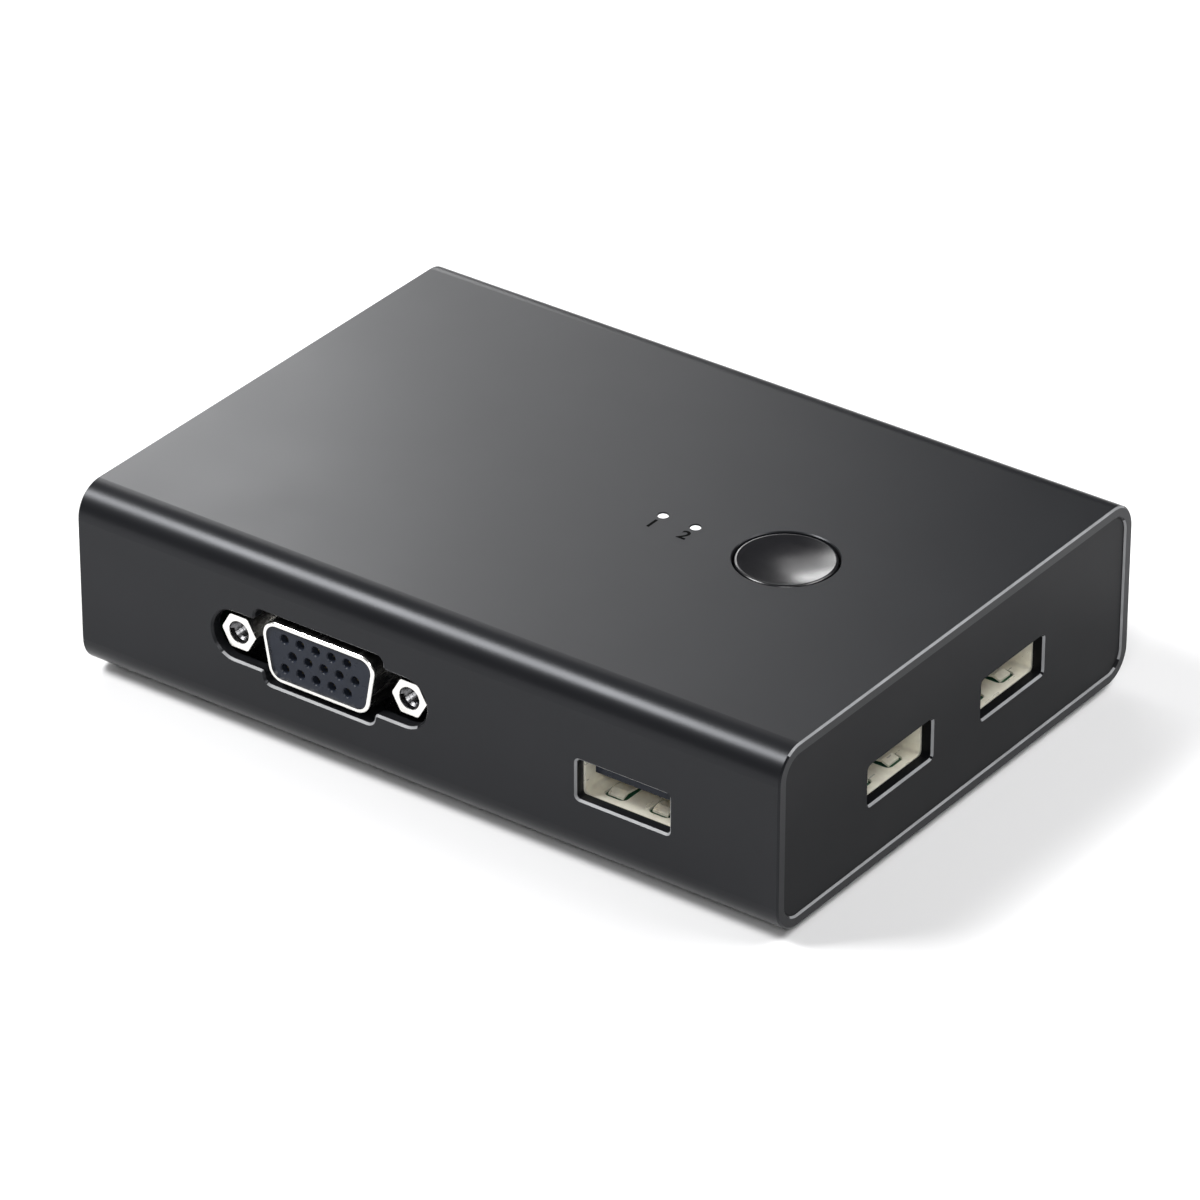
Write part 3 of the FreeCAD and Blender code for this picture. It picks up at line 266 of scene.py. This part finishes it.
def thread_steel():
    """Dark steel colour: painted shade in the depth of the jackscrews and on the video sockets' flanges.
    """
    surface = Surface("thread_steel", (0.16, 0.16, 0.165), 0.3, 1.0)
    return surface.vary_colour(0.4 * MM, 0.3).vary_roughness(0.4 * MM, 0.08).grain(0.1 * MM, 0.002 * MM)


def screw_steel():
    """Black-plated screw, brighter where the tool has rubbed."""
    surface = Surface("screw_steel", (0.10, 0.10, 0.105), 0.35, 1.0)
    return surface.vary_colour(0.5 * MM, 0.4).vary_roughness(0.6 * MM, 0.1).grain(0.1 * MM, 0.002 * MM)


def contact_gold():
    """Thin gold plating."""
    surface = Surface("contact_gold", (0.93, 0.70, 0.27), 0.22, 1.0)
    return surface.vary_colour(0.6 * MM, 0.06).vary_roughness(0.5 * MM, 0.05).grain(0.08 * MM, 0.0006 * MM)


def socket_plastic():
    """Dark grey glass-filled moulding."""
    surface = Surface("socket_plastic", (0.014, 0.017, 0.025), 0.3)
    surface.constant("Specular IOR Level", 0.15)
    return surface.vary_colour(1.0 * MM, 0.1).vary_roughness(1.5 * MM, 0.05).grain(0.12 * MM, 0.002 * MM)


def white_plastic():
    """White nylon."""
    surface = Surface("white_plastic", (0.82, 0.82, 0.79), 0.45)
    return surface.vary_colour(1.0 * MM, 0.03).vary_roughness(1.0 * MM, 0.05).grain(0.1 * MM, 0.002 * MM)


def board_mask():
    """Green solder mask over copper, a little uneven."""
    surface = Surface("board_mask", (0.006, 0.06, 0.025), 0.32)
    surface.constant("Coat Weight", 0.4)
    return surface.vary_colour(2.5 * MM, 0.25).vary_roughness(2.0 * MM, 0.06).grain(0.7 * MM, 0.006 * MM)


def chip_epoxy():
    """Dark moulded epoxy."""
    surface = Surface("chip_epoxy", (0.028, 0.028, 0.03), 0.55)
    return surface.vary_colour(0.8 * MM, 0.15).vary_roughness(1.0 * MM, 0.06).grain(0.08 * MM, 0.004 * MM)


def can_aluminium():
    """Bare drawn aluminium."""
    surface = Surface("can_aluminium", (0.82, 0.82, 0.82), 0.3, 1.0)
    surface.vary_colour(1.0 * MM, 0.05).vary_roughness(0.8 * MM, 0.08, (1, 1, 0.1))
    return surface.grain(0.1 * MM, 0.001 * MM)


def chip_ceramic():
    """Fired ceramic of the small capacitors."""
    surface = Surface("chip_ceramic", (0.42, 0.31, 0.2), 0.5)
    return surface.vary_colour(0.5 * MM, 0.12).vary_roughness(0.5 * MM, 0.06).grain(0.08 * MM, 0.003 * MM)


def light_window():
    """Milky acrylic of the light pipes."""
    surface = Surface("light_window", (0.90, 0.91, 0.92), 0.25)
    surface.constant("Subsurface Weight", 0.25).constant("Subsurface Radius", (MM, MM, MM))
    return surface.vary_colour(0.6 * MM, 0.03).vary_roughness(0.6 * MM, 0.05)


def print_ink():
    """Dead matt black pad print."""
    surface = Surface("print_ink", (0.002, 0.002, 0.002), 0.8)
    surface.constant("Specular IOR Level", 0.02)
    return surface.vary_colour(0.4 * MM, 0.2).vary_roughness(0.4 * MM, 0.05).grain(0.08 * MM, 0.002 * MM)


def floor_paint():
    """Pale matt studio floor."""
    surface = Surface("floor_paint", (0.68, 0.68, 0.685), 0.7)
    return surface.vary_colour(200 * MM, 0.004)


case = case_plastic().material
# Darker copy of the case plastic: painted shade on the end panels.
panel = panel_plastic().material
# Pale chamfer colour: a painted highlight.
painted_edge_highlight = edge_plastic().material
cover = cover_plastic().material
polished = polished_plastic().material
rubber = foot_rubber().material
label = label_film().material
nickel = nickel_plate().material
tin = socket_tin().material
# Dark steel for threaded holes, threads and flanges: painted shade.
threads = thread_steel().material
screw = screw_steel().material
gold = contact_gold().material
socket = socket_plastic().material
white = white_plastic().material
board = board_mask().material
epoxy = chip_epoxy().material
aluminium = can_aluminium().material
ceramic = chip_ceramic().material
window = light_window().material
ink = print_ink().material

node_materials = {
    "upper_shell": case, "left_end_panel": panel, "right_end_panel": panel, "bottom_cover": cover,
    "rubber_feet": rubber, "rating_label": label, "case_screws": screw, "board_screws": screw,
    "circuit_board": board, "select_button": polished, "switch_body": epoxy, "switch_cover": nickel,
    "switch_plunger": white, "switch_dome": nickel, "switch_legs": nickel,
    "video_switch_chip": epoxy, "usb_switch_chip": epoxy, "usb_hub_chip": epoxy,
    "clock_crystal": nickel, "voltage_regulator": epoxy, "electrolytic_capacitors": aluminium,
    "chip_resistors": epoxy, "chip_capacitors": ceramic,
}
ending_materials = {
    "usb_1_shell": tin, "usb_2_shell": tin, "front_usb_shell": tin, "_shell": nickel, "_brackets": nickel,
    "_jackscrews": nickel, "_contacts": gold, "_insulator": socket,
}


def material_for(name):
    """The material of a CAD node, by its name or the end of its name."""
    if name in node_materials:
        return node_materials[name]
    if name.startswith(("light_pipe", "status_led")):
        return window
    return next(material for ending, material in ending_materials.items() if name.endswith(ending))


def leans_to_side(face, axis):
    """Whether a face is a narrow chamfer at one of the case's sides along an axis."""
    side = cad_high[axis] if face.normal[axis] > 0 else cad_low[axis]
    near = abs(side - face.center[axis]) < edge_depth
    return near and edge_lean[0] < abs(face.normal[axis]) < edge_lean[1]


def beside_usb(face):
    """Whether a face is level with one of the USB sockets in the long sides."""
    boxes = [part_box(f"{name}_shell") for name in ("front_usb", "computer_usb_1", "computer_usb_2")]
    return any(low.x - usb_margin < face.center.x < high.x + usb_margin for low, high in boxes)


def is_edge(face):
    """Whether a face is a chamfer that gets a painted highlight: those that face up or to the front."""
    upward = face.normal.z > edge_lean[0]
    if leans_to_side(face, Y):
        return upward or beside_usb(face)
    panel_low, panel_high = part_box("right_end_panel")
    on_panel = all(panel_low[axis] < face.center[axis] < panel_high[axis] for axis in (Y, Z))
    forward = face.normal.y < -edge_lean[0] and (on_panel or face.center.y > 0)
    return leans_to_side(face, X) and (upward or forward)


def is_bore(face, middle):
    """Whether a face of a pair of jackscrews is inside one of their threaded holes, where shade is
    painted.
    """
    across = abs(face.center.x - middle.x) - jack_spacing / 2
    return math.hypot(across, face.center.z - middle.z) < thread_root


def is_flange(face, rim):
    """Whether a face of a video socket's shell is on its flange, behind the opening, where shade is
    painted.
    """
    return abs(face.normal.y) > flange_facing and abs(face.center.y) < rim - flange_depth


def add_second_material(mesh, material, chosen):
    """Gives the chosen faces of a mesh a second material."""
    mesh.materials.append(material)
    for face in mesh.polygons:
        face.material_index = int(chosen(face))


def dress_nodes():
    """Gives every CAD node its material, and a second one: a painted highlight on chamfers, painted shade
    in threaded holes and on flanges.
    """
    for name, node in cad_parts.items():
        node.data.materials.clear()
        node.data.materials.append(material_for(name))
        if material_for(name) in (case, panel):
            # Pale colour on chamfers facing up or to the front: a painted highlight.
            add_second_material(node.data, painted_edge_highlight, is_edge)
        # Dark steel in the threaded holes and on the flanges: painted shade.
        if name.endswith("_jackscrews"):
            low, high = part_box(name)
            add_second_material(node.data, threads, lambda face: is_bore(face, (low + high) / 2))
        if "vga" in name and name.endswith("_shell"):
            low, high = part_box(name)
            add_second_material(node.data, threads, lambda face: is_flange(face, max(-low.y, high.y)))


# Pieces

def add_piece(name, mesh, material, body):
    """A new mesh object that rides on a body."""
    piece = bpy.data.objects.new(name, mesh)
    bpy.context.scene.collection.objects.link(piece)
    mesh.materials.append(material)
    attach(piece, body)
    return piece


def printed_digit(text, window_name):
    """A thin printed digit in front of one of the light windows."""
    low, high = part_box(window_name)
    curve = bpy.data.curves.new(f"digit_outline_{text}", "FONT")
    curve.body = text
    curve.align_x = "CENTER"
    curve.align_y = "CENTER"
    curve.size = digit_height / cap_height
    curve.offset = digit_bolder
    source = bpy.data.objects.new(curve.name, curve)
    bpy.context.scene.collection.objects.link(source)
    bpy.context.view_layer.update()
    mesh = bpy.data.meshes.new_from_object(source.evaluated_get(bpy.context.evaluated_depsgraph_get()))
    bpy.data.objects.remove(source)
    mesh.name = f"light_digit_{text}"
    place = Vector(((low.x + high.x) / 2 + digit_shift, digit_y, cad_high.z + digit_lift))
    mesh.transform(Matrix.Translation(place))
    return add_piece(f"light_digit_{text}", mesh, ink, "housing")


def thread_mesh(name, side):
    """A ridge wound along Y, from the screw's mouth inwards."""
    profile = ((thread_root, 0), (thread_crest, thread_pitch / 2), (thread_root, thread_pitch))
    mesh = bmesh.new()
    rings = []
    for step in range(thread_turns * thread_steps + 1):
        turn = 2 * math.pi * step / thread_steps
        depth = thread_pitch * step / thread_steps
        ring = []
        for radius, shift in profile:
            place = (side * radius * math.cos(turn), -side * (depth + shift), radius * math.sin(turn))
            ring.append(mesh.verts.new(place))
        rings.append(ring)
    for ring, following in zip(rings, rings[1:]):
        for first in range(len(profile)):
            second = (first + 1) % len(profile)
            mesh.faces.new((ring[first], ring[second], following[second], following[first]))
    mesh.faces.new(rings[0])
    mesh.faces.new(reversed(rings[-1]))
    bmesh.ops.recalc_face_normals(mesh, faces=mesh.faces)
    result = bpy.data.meshes.new(name)
    mesh.to_mesh(result)
    mesh.free()
    return result


def jackscrew_threads(node_name):
    """The threads inside a socket's two jackscrews."""
    low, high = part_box(node_name)
    side = 1 if high.y > 0 else -1
    mouth = (high.y if side > 0 else low.y) - side * thread_inset
    for place in (-1, 1):
        label = "left" if place < 0 else "right"
        mesh = thread_mesh(f"{node_name}_thread_{label}", side)
        centre = Vector(((low.x + high.x + place * jack_spacing) / 2, mouth, (low.z + high.z) / 2))
        mesh.transform(Matrix.Translation(centre))
        # Dark steel colour on the threads: painted shade.
        add_piece(mesh.name, mesh, threads, "housing")


def snap_dome():
    """The push switch's dome, which on the real switch flattens under the plunger, copied into a piece
    with its own mesh in place of the CAD node.
    """
    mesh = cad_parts["switch_dome"].data.copy()
    mesh.materials.clear()
    mesh.name = "snap_dome"
    piece = add_piece(mesh.name, mesh, nickel, "housing")
    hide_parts("switch_dome")
    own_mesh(piece)


# Stage

def camera_frame():
    """Camera axes (right, up, back) and place from its angles and distance."""
    back = Vector((math.sin(camera_azimuth) * math.cos(camera_elevation),
                   -math.cos(camera_azimuth) * math.cos(camera_elevation),
                   math.sin(camera_elevation)))
    level_right = Vector((math.cos(camera_azimuth), math.sin(camera_azimuth), 0))
    level_up = back.cross(level_right)
    right = math.cos(camera_roll) * level_right + math.sin(camera_roll) * level_up
    up = math.cos(camera_roll) * level_up - math.sin(camera_roll) * level_right
    place = back * camera_distance + right * camera_offset[0] + up * camera_offset[1]
    return right, up, back, place


def add_camera():
    """The photograph's view."""
    right, up, back, place = camera_frame()
    data = bpy.data.cameras.new("camera")
    data.sensor_width = sensor_width
    data.lens = camera_focal_ratio * sensor_width
    data.clip_start, data.clip_end = camera_clip
    camera = bpy.data.objects.new("camera", data)
    bpy.context.scene.collection.objects.link(camera)
    turn = Matrix((right, up, back)).transposed().to_4x4()
    camera.matrix_world = Matrix.Translation(place) @ turn
    bpy.context.scene.camera = camera


def add_soft_box(name, azimuth, elevation, distance, size, power):
    """A rectangular area light that faces the target and that the camera doesn't see."""
    turn, rise = math.radians(azimuth), math.radians(elevation)
    away = Vector((math.cos(rise) * math.cos(turn), math.cos(rise) * math.sin(turn), math.sin(rise)))
    data = bpy.data.lights.new(name, "AREA")
    data.shape = "RECTANGLE"
    data.size, data.size_y = size
    data.energy = power
    light = bpy.data.objects.new(name, data)
    bpy.context.scene.collection.objects.link(light)
    light.location = away * distance
    light.rotation_euler = (Vector(light_target) - light.location).to_track_quat("-Z", "Y").to_euler()
    light.visible_camera = False


def add_floor():
    """Plain pale floor under the feet."""
    mesh = bpy.data.meshes.new("floor")
    half = floor_size / 2
    corners = [(-half, -half, 0), (half, -half, 0), (half, half, 0), (-half, half, 0)]
    mesh.from_pydata(corners, [], [range(len(corners))])
    mesh.materials.append(floor_paint().material)
    floor = bpy.data.objects.new("floor", mesh)
    bpy.context.scene.collection.objects.link(floor)


def add_world():
    """Even pale surroundings."""
    world = bpy.data.worlds.new("surroundings")
    world.use_nodes = True
    background = world.node_tree.nodes["Background"]
    background.inputs["Color"].default_value = (1.0, 1.0, 1.0, 1.0)
    background.inputs["Strength"].default_value = world_strength
    bpy.context.scene.world = world


add_camera()
add_floor()
add_world()
for box_name, settings in soft_boxes.items():
    add_soft_box(box_name, *settings)
bpy.context.scene.view_settings.view_transform = "Standard"

dress_nodes()
for number in (1, 2):
    printed_digit(str(number), f"light_pipe_{number}")
for socket_name in ("screen_vga", "computer_vga_1", "computer_vga_2"):
    jackscrew_threads(f"{socket_name}_jackscrews")
snap_dome()
